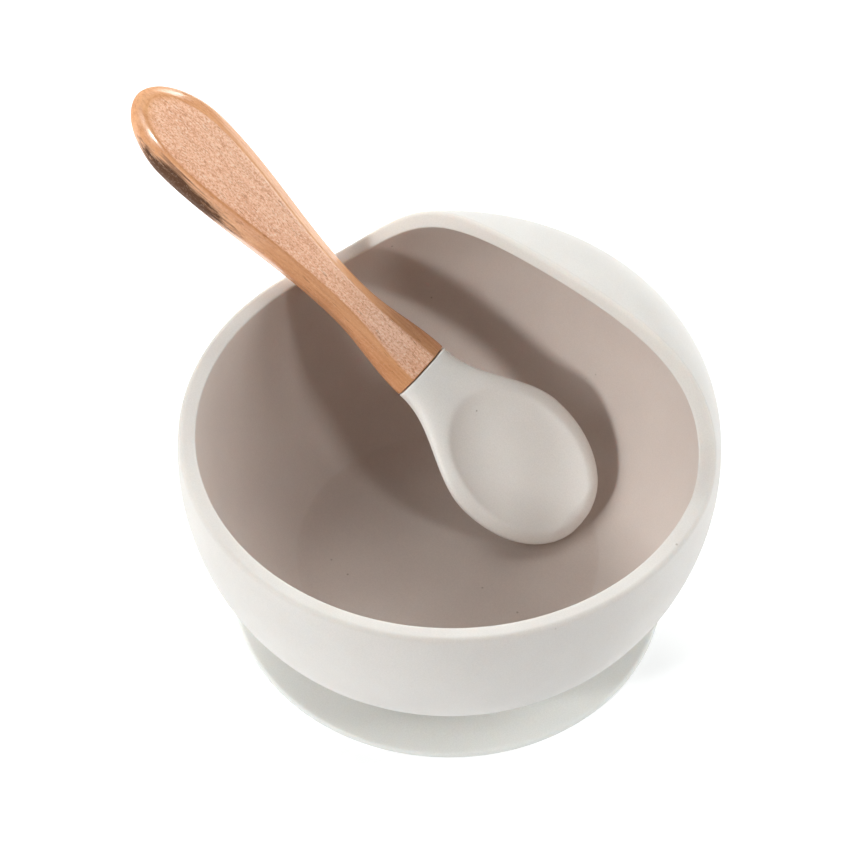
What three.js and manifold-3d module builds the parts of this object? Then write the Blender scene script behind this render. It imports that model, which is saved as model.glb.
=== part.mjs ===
// Silicone suction bowl with a curled-in hood, standing on a soft suction cup,
// with the beech-handled silicone spoon that rests in it.
// Millimetres, +Z up. The origin is on the bowl's axis, on the table plane, and
// the hood's middle faces +Y.

import * as THREE from 'three';
import { mergeVertices } from 'three/addons/utils/BufferGeometryUtils.js';
import Module from 'manifold-3d';

const wasm = await Module();
wasm.setup();

// ---- bowl ----
const BOWL_RADIUS = 62.5;          // widest outer radius
const WIDEST_HEIGHT = 47.9;        // height of the widest ring
const BOWL_UNDERSIDE = 6.3;        // flat underside of the bowl
const BELLY_BOTTOM = 3.5;          // where the belly curve would close
const BELLY_RISE_POWER = 1.8;      // belly superellipse, vertical exponent
const BELLY_SPREAD_POWER = 4.5;    // belly superellipse, radial exponent
const CURL_SIZE = 33.3;            // reach of the inward curl above the widest ring
const CURL_POWER = 2.46;           // curl superellipse exponent
const WALL = 3.9;                  // wall thickness
const FLOOR_THICKNESS = 4.4;       // thickness where the belly meets the floor
const RIM_FRONT_HEIGHT = 58.3;     // the low rim, all round the front
const HOOD_RISE_START = 18.8;      // Y where the rim leaves the level and starts to rise
const HOOD_EDGE = 36.3;            // Y of the hood's straight front edge
const HOOD_RISE_TOP = 78.7;        // height where the rising rim has turned upright
const HOOD_RISE_POWER = 1.85;      // shape of that turn, seen from the side
const RIM_SHOULDER = 1.6;          // outer rounding of the rim
const RIM_INNER_EDGE = 0.5;        // small inner edge of the rim
const BOWL_COLUMNS = 72;
const BELLY_ROWS = 8;
const CURL_ROWS = 5;

// ---- suction cup ----
const CUP_RADIUS = 53.5;
const CUP_HEIGHT = 7.5;            // top of the spigot that is bonded into the bowl
const CUP_SPIGOT_RADIUS = 25;
const CUP_LIP_INNER = 46;          // the flat sealing ring runs from here to the edge
const CUP_DOME = 2.6;              // height of the hollow under the cup
const CUP_DOME_FLAT = 16;          // radius of the hollow's flat middle
const CUP_DOME_BEND = 36;          // where the hollow turns down to the sealing ring
const CUP_EDGE_THICKNESS = 1.5;
const CUP_EDGE_ROUNDING = 0.5;
const CUP_SKIRT_BEND = 40;         // the top surface is thin out to here
const CUP_SKIRT_BEND_HEIGHT = 1.9;
const CUP_SKIRT_INNER = 33;
const CUP_SKIRT_INNER_HEIGHT = 3.6;
const CUP_SPIGOT_FOOT = 27;        // fillet at the spigot's foot
const CUP_SPIGOT_FOOT_HEIGHT = 4.4;
const CUP_SPIGOT_START = 5.2;      // height where the spigot turns upright
const CUP_SIDES = 64;
const BOND_GAP = 0.3;              // glue line between parts

// ---- spoon ----
const SPOON_LENGTH = 149.5;
const JOINT_AT = 55;               // from the head's end to the wood
const HEAD_HALF_WIDTH = 18.2;
const HEAD_WIDEST_AT = 24;
const HEAD_END_POWER = 2.1;        // superellipse exponent of the head's end
const HEAD_END_TAPER = 4;          // the head thins over this length at its end
const NECK_HALF_WIDTH = 8.0;
const NECK_AT = 54;
const HEAD_HALF_THICKNESS = 2.1;
const NECK_HALF_THICKNESS = 3.6;
const NECK_THICKENS_AT = 34;
const HEAD_SECTION_POWER = 0.5;    // below 1 squares the section, 1 is an ellipse
const NECK_SECTION_POWER = 0.75;
const SCOOP_AT = 22.5;             // middle of the scoop, from the head's end
const SCOOP_HALF_LENGTH = 20;
const SCOOP_HALF_WIDTH = 14.6;
const SCOOP_DEPTH = 3.4;
const SCOOP_WALL_POWER = 0.8;      // how steeply the scoop's wall starts
const SWELL_SPREAD = 0.8;          // the swelling underneath reaches a little wider
const WAIST_AT = 79.5;
const WAIST_HALF_WIDTH = 5.3;
const WAIST_HALF_THICKNESS = 5.4;
const BULB_AT = 133;
const BULB_HALF_WIDTH = 10.1;
const BULB_HALF_THICKNESS = 5.5;
const BULB_END_POWER = 1.9;        // the rounded end, seen from above
const BULB_END_SIDE_POWER = 2.8;   // and from the side
const HANDLE_SAG = 2.5;            // the handle dips between the head and the bulb
const CORE_RADIUS = 2.4;           // round end of the core, in the wood
const CORE_IN_WOOD = 20;
const CORE_IN_NECK = 12;
const TANG_HALF_WIDTH = 4.0;
const TANG_HALF_THICKNESS = 1.4;
const TANG_ENDS_BEFORE_JOINT = 5;
const ROD_STARTS_BEFORE_JOINT = 1;
const CORE_SIDES = 16;
const FACET_AT_JOINT = 0.47;       // share of the handle's width that its broad facets take
const FACET_AT_WAIST = 0.52;
const FACET_AT_BULB = 0.69;
const SIDE_FLAT = 0.35;            // share of its thickness that the side flats take

// where the spoon lies in the bowl
const SPOON_END = new THREE.Vector3(20.45, 26.71, 12.84);   // the head end of its long axis
const SPOON_AZIMUTH = THREE.MathUtils.degToRad(192.1);   // where the handle points
const SPOON_SLOPE = THREE.MathUtils.degToRad(34.79);
const SPOON_ROLL = THREE.MathUtils.degToRad(-21.6);      // scoop turned towards the front

// ---- helpers ----

function smoothStep(x) {
  const t = Math.min(Math.max(x, 0), 1);
  return t * t * (3 - 2 * t);
}

function cosineBlend(from, to, x, start, end) {
  const t = Math.min(Math.max((x - start) / (end - start), 0), 1);
  return from + (to - from) * (0.5 - 0.5 * Math.cos(Math.PI * t));
}

function signedPower(value, power) {
  return Math.sign(value) * Math.abs(value) ** power;
}

function geometryFrom(positions, indices) {
  const geometry = new THREE.BufferGeometry();
  geometry.setAttribute('position', new THREE.Float32BufferAttribute(positions, 3));
  geometry.setIndex(indices);
  geometry.computeVertexNormals();
  return geometry;
}

// Joins rings of equal size into one closed skin, with a fan over each end.
function skinRings(rings, firstPoint, lastPoint, flip) {
  const count = rings[0].length;
  const positions = [];
  const indices = [];
  const addTriangle = (a, b, c) => (flip ? indices.push(a, c, b) : indices.push(a, b, c));
  for (const ring of rings) {
    for (const point of ring) positions.push(point.x, point.y, point.z);
  }
  for (let row = 0; row + 1 < rings.length; row += 1) {
    for (let i = 0; i < count; i += 1) {
      const next = (i + 1) % count;
      const low = row * count;
      const high = low + count;
      addTriangle(low + i, low + next, high + next);
      addTriangle(low + i, high + next, high + i);
    }
  }
  const first = positions.length / 3;
  positions.push(firstPoint.x, firstPoint.y, firstPoint.z);
  positions.push(lastPoint.x, lastPoint.y, lastPoint.z);
  const lastRow = (rings.length - 1) * count;
  for (let i = 0; i < count; i += 1) {
    const next = (i + 1) % count;
    addTriangle(first, next, i);
    addTriangle(first + 1, lastRow + i, lastRow + next);
  }
  return geometryFrom(positions, indices);
}

function toSolid(geometry) {
  const bare = geometry.clone();
  bare.deleteAttribute('normal');
  bare.deleteAttribute('uv');
  const merged = mergeVertices(bare, 1e-4);
  const mesh = new wasm.Mesh({
    numProp: 3,
    vertProperties: new Float32Array(merged.getAttribute('position').array),
    triVerts: new Uint32Array(merged.getIndex().array),
  });
  return new wasm.Manifold(mesh);
}

function cut(body, tool) {
  const mesh = toSolid(body).subtract(toSolid(tool)).getMesh();
  return geometryFrom(Array.from(mesh.vertProperties), Array.from(mesh.triVerts));
}

function namedMesh(name, geometry, color, roughness) {
  const material = new THREE.MeshStandardMaterial({ color, roughness, metalness: 0 });
  const mesh = new THREE.Mesh(geometry, material);
  mesh.name = name;
  return mesh;
}

// ---- bowl ----

// A point of the outer wall with its outward normal: r is the radius, z the height.
function wallPoint(r, z, normalR, normalZ) {
  const length = Math.hypot(normalR, normalZ);
  return { r, z, nr: normalR / length, nz: normalZ / length };
}

// The belly runs from the underside (turn near 0) to the widest ring (turn of 90 degrees).
function bellyPoint(turn) {
  const height = WIDEST_HEIGHT - BELLY_BOTTOM;
  const down = Math.cos(turn) ** (2 / BELLY_RISE_POWER);
  const out = Math.sin(turn) ** (2 / BELLY_SPREAD_POWER);
  const normalR = BELLY_SPREAD_POWER * out ** (BELLY_SPREAD_POWER - 1) / BOWL_RADIUS;
  const normalZ = -BELLY_RISE_POWER * down ** (BELLY_RISE_POWER - 1) / height;
  return wallPoint(BOWL_RADIUS * out, WIDEST_HEIGHT - height * down, normalR, normalZ);
}

// The curl runs from the widest ring (angle 0) up and inwards (90 degrees is level).
function curlPoint(angle) {
  const out = Math.cos(angle) ** (2 / CURL_POWER);
  const up = Math.sin(angle) ** (2 / CURL_POWER);
  const r = BOWL_RADIUS - CURL_SIZE * (1 - out);
  const z = WIDEST_HEIGHT + CURL_SIZE * up;
  return wallPoint(r, z, out ** (CURL_POWER - 1), up ** (CURL_POWER - 1));
}

// Length along the curl at evenly spaced angles, to place rows at even distances.
const CURL_STEPS = 400;
const curlLengths = [0];
for (let i = 1; i <= CURL_STEPS; i += 1) {
  const before = curlPoint((i - 1) * Math.PI / 2 / CURL_STEPS);
  const here = curlPoint(i * Math.PI / 2 / CURL_STEPS);
  curlLengths.push(curlLengths[i - 1] + Math.hypot(here.r - before.r, here.z - before.z));
}

function curlLength(angle) {
  const place = angle / (Math.PI / 2) * CURL_STEPS;
  const i = Math.min(Math.floor(place), CURL_STEPS - 1);
  return curlLengths[i] + (curlLengths[i + 1] - curlLengths[i]) * (place - i);
}

function curlPointAtLength(length) {
  let i = 0;
  while (i + 2 < curlLengths.length && curlLengths[i + 1] < length) i += 1;
  const part = (length - curlLengths[i]) / (curlLengths[i + 1] - curlLengths[i]);
  return curlPoint((i + part) * Math.PI / 2 / CURL_STEPS);
}

// Seen from the side, the rim is level, then sweeps up to the hood's upright front edge.
function cutHeight(y) {
  if (y >= HOOD_EDGE) return Infinity;
  const along = Math.max((y - HOOD_RISE_START) / (HOOD_EDGE - HOOD_RISE_START), 0);
  const below = (1 - along ** HOOD_RISE_POWER) ** (1 / HOOD_RISE_POWER);
  return HOOD_RISE_TOP - (HOOD_RISE_TOP - RIM_FRONT_HEIGHT) * below;
}

// The curl angle where the wall reaches that cut, found by halving.
function rimAngle(turn) {
  let low = 0;
  let high = Math.PI / 2;
  for (let i = 0; i < 40; i += 1) {
    const middle = (low + high) / 2;
    const { r, z } = curlPoint(middle);
    if (z < cutHeight(r * Math.cos(turn))) low = middle;
    else high = middle;
  }
  return low;
}

function inset(point, depth) {
  return { r: point.r - depth * point.nr, z: point.z - depth * point.nz };
}

// One radial slice of the bowl's skin, from under the floor round the rim to the floor.
function bowlSlice(turn) {
  const slice = [
    { r: CUP_SPIGOT_RADIUS + BOND_GAP, z: CUP_HEIGHT + BOND_GAP },
    { r: CUP_SPIGOT_RADIUS + BOND_GAP, z: BOWL_UNDERSIDE },
  ];
  const bellyHeight = WIDEST_HEIGHT - BELLY_BOTTOM;
  const cutDown = (WIDEST_HEIGHT - BOWL_UNDERSIDE) / bellyHeight;
  const firstTurn = Math.acos(cutDown ** (BELLY_RISE_POWER / 2));
  const outer = [];
  for (let i = 0; i < BELLY_ROWS; i += 1) {
    const point = bellyPoint(firstTurn + (Math.PI / 2 - firstTurn) * i / BELLY_ROWS);
    const rise = smoothStep(i / (BELLY_ROWS / 2));
    outer.push({ ...point, depth: FLOOR_THICKNESS + (WALL - FLOOR_THICKNESS) * rise });
  }
  const angle = rimAngle(turn);
  const rimPoint = curlPoint(angle);
  const wallLength = curlLength(angle) - RIM_SHOULDER;
  for (let i = 0; i <= CURL_ROWS; i += 1) {
    outer.push({ ...curlPointAtLength(wallLength * i / CURL_ROWS), depth: WALL });
  }
  for (const point of outer) slice.push({ r: point.r, z: point.z });
  // along is measured on from the wall's end, into is measured inwards from the outer face
  const rimCorner = (along, into) => ({
    r: rimPoint.r - along * rimPoint.nz - into * rimPoint.nr,
    z: rimPoint.z + along * rimPoint.nr - into * rimPoint.nz,
  });
  const soft = RIM_SHOULDER * (1 - Math.SQRT1_2);
  slice.push(rimCorner(-soft, soft));
  slice.push(rimCorner(0, RIM_SHOULDER));
  slice.push(rimCorner(0, WALL - RIM_INNER_EDGE));
  slice.push(rimCorner(-RIM_INNER_EDGE, WALL));
  for (const point of outer.reverse()) slice.push(inset(point, point.depth));
  return slice;
}

function bowlGeometry() {
  const slices = [];
  for (let i = 0; i < BOWL_COLUMNS; i += 1) {
    const turn = i * 2 * Math.PI / BOWL_COLUMNS;
    slices.push({ turn, points: bowlSlice(turn) });
  }
  const rings = slices[0].points.map((_, row) => slices.map(({ turn, points }) => {
    const { r, z } = points[row];
    return new THREE.Vector3(-r * Math.sin(turn), r * Math.cos(turn), z);
  }));
  const under = new THREE.Vector3(0, 0, CUP_HEIGHT + BOND_GAP);
  const floor = new THREE.Vector3(0, 0, rings[rings.length - 1][0].z);
  return skinRings(rings, under, floor, false);
}

// ---- suction cup ----

function cupGeometry() {
  const profile = new THREE.Path();
  profile.moveTo(0, CUP_DOME);
  profile.lineTo(CUP_DOME_FLAT, CUP_DOME);
  profile.quadraticCurveTo(CUP_DOME_BEND, CUP_DOME, CUP_LIP_INNER, 0);
  profile.lineTo(CUP_RADIUS - CUP_EDGE_ROUNDING, 0);
  profile.quadraticCurveTo(CUP_RADIUS, 0, CUP_RADIUS, CUP_EDGE_ROUNDING);
  profile.quadraticCurveTo(
    CUP_RADIUS,
    CUP_EDGE_THICKNESS,
    CUP_RADIUS - 2 * CUP_EDGE_ROUNDING,
    CUP_EDGE_THICKNESS,
  );
  profile.quadraticCurveTo(
    CUP_SKIRT_BEND,
    CUP_SKIRT_BEND_HEIGHT,
    CUP_SKIRT_INNER,
    CUP_SKIRT_INNER_HEIGHT,
  );
  profile.quadraticCurveTo(
    CUP_SPIGOT_FOOT,
    CUP_SPIGOT_FOOT_HEIGHT,
    CUP_SPIGOT_RADIUS,
    CUP_SPIGOT_START,
  );
  profile.lineTo(CUP_SPIGOT_RADIUS, CUP_HEIGHT);
  profile.lineTo(0, CUP_HEIGHT);
  const geometry = new THREE.LatheGeometry(profile.getPoints(4), CUP_SIDES);
  geometry.rotateX(Math.PI / 2);
  return geometry;
}

// ---- spoon, lying along +X with its scoop facing +Z and its head's end at x = 0 ----

function spoonHalfWidth(x) {
  if (x < HEAD_WIDEST_AT) {
    const back = (HEAD_WIDEST_AT - x) / HEAD_WIDEST_AT;
    return HEAD_HALF_WIDTH * (1 - back ** HEAD_END_POWER) ** (1 / HEAD_END_POWER);
  }
  if (x < JOINT_AT) return cosineBlend(HEAD_HALF_WIDTH, NECK_HALF_WIDTH, x, HEAD_WIDEST_AT, NECK_AT);
  if (x < WAIST_AT) return cosineBlend(NECK_HALF_WIDTH, WAIST_HALF_WIDTH, x, JOINT_AT, WAIST_AT);
  if (x < BULB_AT) return cosineBlend(WAIST_HALF_WIDTH, BULB_HALF_WIDTH, x, WAIST_AT, BULB_AT);
  const on = (x - BULB_AT) / (SPOON_LENGTH - BULB_AT);
  return BULB_HALF_WIDTH * Math.max(1 - on ** BULB_END_POWER, 0) ** (1 / BULB_END_POWER);
}

function spoonHalfThickness(x) {
  if (x < JOINT_AT) {
    return cosineBlend(HEAD_HALF_THICKNESS, NECK_HALF_THICKNESS, x, NECK_THICKENS_AT, NECK_AT);
  }
  if (x < WAIST_AT) return cosineBlend(NECK_HALF_THICKNESS, WAIST_HALF_THICKNESS, x, JOINT_AT, WAIST_AT);
  if (x < BULB_AT) return cosineBlend(WAIST_HALF_THICKNESS, BULB_HALF_THICKNESS, x, WAIST_AT, BULB_AT);
  const on = (x - BULB_AT) / (SPOON_LENGTH - BULB_AT);
  const share = Math.max(1 - on ** BULB_END_SIDE_POWER, 0) ** (1 / BULB_END_SIDE_POWER);
  return BULB_HALF_THICKNESS * share;
}

function spoonMidHeight(x) {
  const t = (x - SCOOP_AT) / (BULB_AT - SCOOP_AT);
  return t > 0 && t < 1 ? -HANDLE_SAG * Math.sin(Math.PI * t) ** 2 : 0;
}

const HEAD_SIDES = 32;
const HEAD_RINGS = 22;
const HEAD_RING_CROWDING = 0.35;   // rings lie closer together towards the head's end

function headRing(x) {
  const halfWidth = spoonHalfWidth(x);
  const halfThickness = spoonHalfThickness(x) * Math.min(1, Math.sqrt(x / HEAD_END_TAPER));
  const power = cosineBlend(HEAD_SECTION_POWER, NECK_SECTION_POWER, x, NECK_THICKENS_AT, NECK_AT);
  const ring = [];
  for (let i = 0; i < HEAD_SIDES; i += 1) {
    const turn = i * 2 * Math.PI / HEAD_SIDES;
    const y = halfWidth * signedPower(Math.cos(turn), power);
    const edge = halfThickness * signedPower(Math.sin(turn), power);
    const reach = ((x - SCOOP_AT) / SCOOP_HALF_LENGTH) ** 2 + (y / SCOOP_HALF_WIDTH) ** 2;
    const dip = SCOOP_DEPTH * Math.max(1 - reach, 0) ** SCOOP_WALL_POWER;
    const swell = SCOOP_DEPTH * Math.max(1 - reach * SWELL_SPREAD, 0);
    const lower = Math.sin(turn) > 0 ? dip : swell;
    ring.push(new THREE.Vector3(x, y, spoonMidHeight(x) + edge - lower));
  }
  return ring;
}

// A short flat bar that turns into a round rod: the core, or the space cut for it.
function coreGeometry(clearance) {
  const section = (x, halfWidth, halfThickness) => {
    const ring = [];
    for (let i = 0; i < CORE_SIDES; i += 1) {
      const turn = i * 2 * Math.PI / CORE_SIDES;
      const y = (halfWidth + clearance) * Math.cos(turn);
      const z = (halfThickness + clearance) * Math.sin(turn);
      ring.push(new THREE.Vector3(x, y, z + spoonMidHeight(JOINT_AT)));
    }
    return ring;
  };
  const start = JOINT_AT - CORE_IN_NECK - clearance;
  const end = JOINT_AT + CORE_IN_WOOD + clearance;
  const rings = [
    section(start, TANG_HALF_WIDTH, TANG_HALF_THICKNESS),
    section(JOINT_AT - TANG_ENDS_BEFORE_JOINT, TANG_HALF_WIDTH, TANG_HALF_THICKNESS),
    section(JOINT_AT - ROD_STARTS_BEFORE_JOINT, CORE_RADIUS, CORE_RADIUS),
    section(end, CORE_RADIUS, CORE_RADIUS),
  ];
  const middle = (x) => new THREE.Vector3(x, 0, spoonMidHeight(JOINT_AT));
  return skinRings(rings, middle(start), middle(end), false);
}

function headGeometry() {
  const rings = [];
  const end = JOINT_AT - BOND_GAP / 2;
  for (let i = 1; i <= HEAD_RINGS; i += 1) {
    const along = i / HEAD_RINGS;
    rings.push(headRing(end * along * (1 - HEAD_RING_CROWDING * (1 - along))));
  }
  const tip = new THREE.Vector3(0, 0, 0);
  const face = new THREE.Vector3(end, 0, spoonMidHeight(end));
  return cut(skinRings(rings, tip, face, false), coreGeometry(BOND_GAP));
}

// The wood's section is an octagon: broad facets above and below, side flats, and chamfers.
function facetCorners(x) {
  const facet = x < WAIST_AT
    ? cosineBlend(FACET_AT_JOINT, FACET_AT_WAIST, x, JOINT_AT, WAIST_AT)
    : cosineBlend(FACET_AT_WAIST, FACET_AT_BULB, x, WAIST_AT, BULB_AT);
  return [
    [1, SIDE_FLAT], [facet, 1], [-facet, 1], [-1, SIDE_FLAT],
    [-1, -SIDE_FLAT], [-facet, -1], [facet, -1], [1, -SIDE_FLAT],
  ];
}

const HANDLE_RINGS = 20;
const LAST_RING_BEFORE_END = 0.4;
const HANDLE_RING_POWER = 1.1;     // spacing of the rings, close together at the bulb's end

function handleGeometry() {
  const rings = [];
  const start = JOINT_AT + BOND_GAP / 2;
  const run = SPOON_LENGTH - LAST_RING_BEFORE_END - start;
  for (let i = 0; i <= HANDLE_RINGS; i += 1) {
    const x = start + run * Math.sin(i / HANDLE_RINGS * Math.PI / 2) ** HANDLE_RING_POWER;
    const halfWidth = spoonHalfWidth(x);
    const halfThickness = spoonHalfThickness(x);
    rings.push(facetCorners(x).map(([across, up]) => new THREE.Vector3(
      x,
      halfWidth * across,
      spoonMidHeight(x) + halfThickness * up,
    )));
  }
  const face = new THREE.Vector3(start, 0, spoonMidHeight(start));
  const tip = new THREE.Vector3(SPOON_LENGTH, 0, 0);
  return cut(skinRings(rings, face, tip, false), coreGeometry(BOND_GAP));
}

function spoonGroup() {
  const spoon = new THREE.Group();
  spoon.add(namedMesh('spoon_head', headGeometry(), 0xc9c6be, 0.6));
  spoon.add(namedMesh('spoon_handle', handleGeometry(), 0xd8a17f, 0.35));
  spoon.add(namedMesh('spoon_core', coreGeometry(0), 0xe6e3da, 0.5));
  const along = new THREE.Vector3(
    Math.cos(SPOON_SLOPE) * Math.cos(SPOON_AZIMUTH),
    Math.cos(SPOON_SLOPE) * Math.sin(SPOON_AZIMUTH),
    Math.sin(SPOON_SLOPE),
  );
  const level = new THREE.Vector3(0, 0, 1).cross(along).normalize();
  const side = level.applyAxisAngle(along, SPOON_ROLL);
  const up = new THREE.Vector3().crossVectors(along, side);
  spoon.matrix.makeBasis(along, side, up).setPosition(SPOON_END);
  spoon.matrix.decompose(spoon.position, spoon.quaternion, spoon.scale);
  return spoon;
}

// ---- assembly ----

const suctionBowl = new THREE.Group();
suctionBowl.add(namedMesh('bowl', bowlGeometry(), 0xd0ccc9, 0.62));
suctionBowl.add(namedMesh('suction_cup', cupGeometry(), 0xd9d6cd, 0.5));
suctionBowl.add(spoonGroup());

export default suctionBowl;
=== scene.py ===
import math

import bpy
from mathutils import Matrix, Vector


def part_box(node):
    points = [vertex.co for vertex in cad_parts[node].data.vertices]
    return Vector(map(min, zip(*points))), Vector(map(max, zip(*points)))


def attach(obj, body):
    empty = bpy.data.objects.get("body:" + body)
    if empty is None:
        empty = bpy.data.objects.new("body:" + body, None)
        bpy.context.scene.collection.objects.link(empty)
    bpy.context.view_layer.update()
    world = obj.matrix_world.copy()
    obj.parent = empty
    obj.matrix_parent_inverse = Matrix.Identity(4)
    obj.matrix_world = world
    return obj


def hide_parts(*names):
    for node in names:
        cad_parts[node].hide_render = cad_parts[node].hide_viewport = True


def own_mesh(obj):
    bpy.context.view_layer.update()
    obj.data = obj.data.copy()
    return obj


# Silicone suction bowl with a curled-in hood, on a soft suction cup, with its
# beech-handled spoon. Dimensions are in millimetres until a mesh is made.

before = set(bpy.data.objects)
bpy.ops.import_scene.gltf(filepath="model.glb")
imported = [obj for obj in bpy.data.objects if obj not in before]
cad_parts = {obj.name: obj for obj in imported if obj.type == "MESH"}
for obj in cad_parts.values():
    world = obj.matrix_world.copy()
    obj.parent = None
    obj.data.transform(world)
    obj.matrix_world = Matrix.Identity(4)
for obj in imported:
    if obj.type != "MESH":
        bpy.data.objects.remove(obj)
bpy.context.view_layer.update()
MM = 0.001

# ---- bowl, the same curves as the CAD solid, with a tighter rim ----
bowl_low, bowl_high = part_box("bowl")
BOWL_RADIUS = bowl_high.x / MM
BOWL_UNDERSIDE = bowl_low.z / MM
WIDEST_HEIGHT = 47.9
BELLY_BOTTOM = 3.5
BELLY_RISE_POWER = 1.8
BELLY_SPREAD_POWER = 4.5
CURL_SIZE = 33.3
CURL_POWER = 2.46
WALL = 3.9
FLOOR_THICKNESS = 4.4
RIM_FRONT_HEIGHT = 58.3
HOOD_RISE_START = 18.8
HOOD_EDGE = 36.3
HOOD_RISE_TOP = 78.7
HOOD_RISE_POWER = 1.85
RIM_SHOULDER = 1.2
RIM_INNER_EDGE = 0.45
FOOT_EDGE = 0.8
RECESS_EDGE = 0.4
BOWL_COLUMNS = 320
BELLY_ROWS = 34
BELLY_ROW_CROWDING = 1.35          # rows lie closer together near the foot
CURL_ROWS = 22
SHOULDER_ROWS = 8
INNER_EDGE_ROWS = 4
FLOOR_ROWS = 4
FLOOR_ROW_OUTER = 0.95             # shares of the flat floor's radius
FLOOR_ROW_INNER = 0.05
CURL_STEPS = 600                   # steps for measuring along the curl
RIM_SEARCH_STEPS = 40

# the rim's pale rows, a painted glow of light through the thin rim: faint where the rim is level, full
# where it has risen
PALE_ROWS = 12
PALE_SHARE_LEVEL = 0.2
PALE_FULL_RISE = 8

# ---- suction cup ----
CUP_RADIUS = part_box("suction_cup")[1].x / MM
CUP_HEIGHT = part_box("suction_cup")[1].z / MM
CUP_SPIGOT_RADIUS = 25
CUP_LIP_INNER = 46
CUP_LIP_RING = 3                   # one more ring on the sealing face
CUP_DOME = 2.6
CUP_DOME_FLAT = 16
CUP_DOME_BEND = 36
CUP_EDGE_ROUNDING = 0.5
CUP_EDGE_THICKNESS = 1.5
CUP_EDGE_SLOPE = 1.0
CUP_SKIRT_BEND = 40
CUP_SKIRT_BEND_HEIGHT = 1.9
CUP_SKIRT_INNER = 33
CUP_SKIRT_INNER_HEIGHT = 3.6
CUP_SPIGOT_FOOT = 27
CUP_SPIGOT_FOOT_HEIGHT = 4.4
CUP_SPIGOT_START = 5.2
CUP_SPIGOT_EDGE = 0.3
CUP_MIDDLE_RING = 2                # radii of the rings on the flat faces
CUP_DOME_RING = 8
CUP_TOP_RING = 12
CUP_SKIRT_STEPS = 24
CUP_LOWER_EDGE_STEPS = 6
CUP_UPPER_EDGE_STEPS = 8
CUP_FOOT_STEPS = 10
CUP_SIDES = 192
BOND_GAP = 0.3                     # glue line between parts

# ---- spoon ----
SPOON_LENGTH = 149.5
JOINT_AT = 55
HEAD_HALF_WIDTH = 18.2
HEAD_WIDEST_AT = 24
HEAD_END_POWER = 2.1
HEAD_END_TAPER = 4
NECK_HALF_WIDTH = 8.0
NECK_AT = 54
HEAD_HALF_THICKNESS = 2.1
NECK_HALF_THICKNESS = 3.6
NECK_THICKENS_AT = 34
HEAD_SECTION_POWER = 0.5
NECK_SECTION_POWER = 0.75
SCOOP_AT = 22.5
SCOOP_HALF_LENGTH = 20
SCOOP_HALF_WIDTH = 14.6
SCOOP_DEPTH = 3.4
SCOOP_WALL_POWER = 0.75
SCOOP_EDGE_SOFTNESS = 0.0035       # rounds the scoop's edge
SCOOP_EDGE_CUT = 0.02
SWELL_SPREAD = 0.8
WAIST_AT = 79.5
WAIST_HALF_WIDTH = 5.3
WAIST_HALF_THICKNESS = 5.4
BULB_AT = 133
BULB_HALF_WIDTH = 10.1
BULB_HALF_THICKNESS = 5.5
BULB_END_POWER = 1.9
BULB_END_SIDE_POWER = 2.8
HANDLE_SAG = 2.5
FACET_AT_JOINT = 0.47
FACET_AT_WAIST = 0.52
FACET_AT_BULB = 0.69
SIDE_FLAT = 0.35
FACETS_FADE_AT = 128               # from here the facets melt into a round end
CORNER_CUT = 0.8                   # rounding of the facets' corners
CORNER_CUT_SHARE = 0.4             # but never more than this share of an edge
JOINT_EDGE = 0.3                   # small roundings where head and handle meet
JOINT_EDGE_STEP = 0.1
HEAD_EDGE_INSET = 0.06
HANDLE_EDGE_INSET = 0.08
HANDLE_LAST_RING = 0.05            # from the last ring to the handle's end
HANDLE_RING_POWER = 1.1            # rings lie closer together towards the end
HANDLE_FIRST_RING = 0.35
CORE_RADIUS = 2.4
CORE_IN_WOOD = 20
CORE_IN_NECK = 12
TANG_HALF_WIDTH = 4.0
TANG_HALF_THICKNESS = 1.4
TANG_ENDS_BEFORE_JOINT = 5
ROD_STARTS_BEFORE_JOINT = 1
SPOON_END = Vector((20.45, 26.71, 12.84))
SPOON_AZIMUTH = math.radians(192.1)
SPOON_SLOPE = math.radians(34.79)
SPOON_ROLL = math.radians(-21.6)

spoon_along = Vector((
    math.cos(SPOON_SLOPE) * math.cos(SPOON_AZIMUTH),
    math.cos(SPOON_SLOPE) * math.sin(SPOON_AZIMUTH),
    math.sin(SPOON_SLOPE),
))
spoon_level = Vector((0, 0, 1)).cross(spoon_along).normalized()
spoon_side = Matrix.Rotation(SPOON_ROLL, 3, spoon_along) @ spoon_level
spoon_up = spoon_along.cross(spoon_side)
spoon_turn = Matrix((spoon_along, spoon_side, spoon_up)).transposed()
spoon_place = Matrix.Translation(SPOON_END * MM) @ spoon_turn.to_4x4()


# ---- helpers ----

def smooth_step(x):
    t = min(max(x, 0), 1)
    return t * t * (3 - 2 * t)


def cosine_blend(first, last, x, start, end):
    t = min(max((x - start) / (end - start), 0), 1)
    return first + (last - first) * (0.5 - 0.5 * math.cos(math.pi * t))


def signed_power(value, power):
    return math.copysign(abs(value) ** power, value)


def ring_piece(name, rings, first_point, last_point, material):
    """One closed skin over rings of equal size, with a fan at each end."""
    count = len(rings[0])
    points = [point for ring in rings for point in ring]
    faces = []
    for row in range(len(rings) - 1):
        low = row * count
        high = low + count
        for i in range(count):
            after = (i + 1) % count
            faces.append((low + i, low + after, high + after, high + i))
    first = len(points)
    last_row = (len(rings) - 1) * count
    for i in range(count):
        after = (i + 1) % count
        faces.append((first, after, i))
        faces.append((first + 1, last_row + i, last_row + after))
    points += [first_point, last_point]
    mesh = bpy.data.meshes.new(name)
    mesh.from_pydata([Vector(p) * MM for p in points], [], faces)
    mesh.validate()
    mesh.shade_smooth()
    mesh.materials.append(material)
    piece = bpy.data.objects.new(name, mesh)
    bpy.context.scene.collection.objects.link(piece)
    return piece


# ---- materials ----

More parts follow.
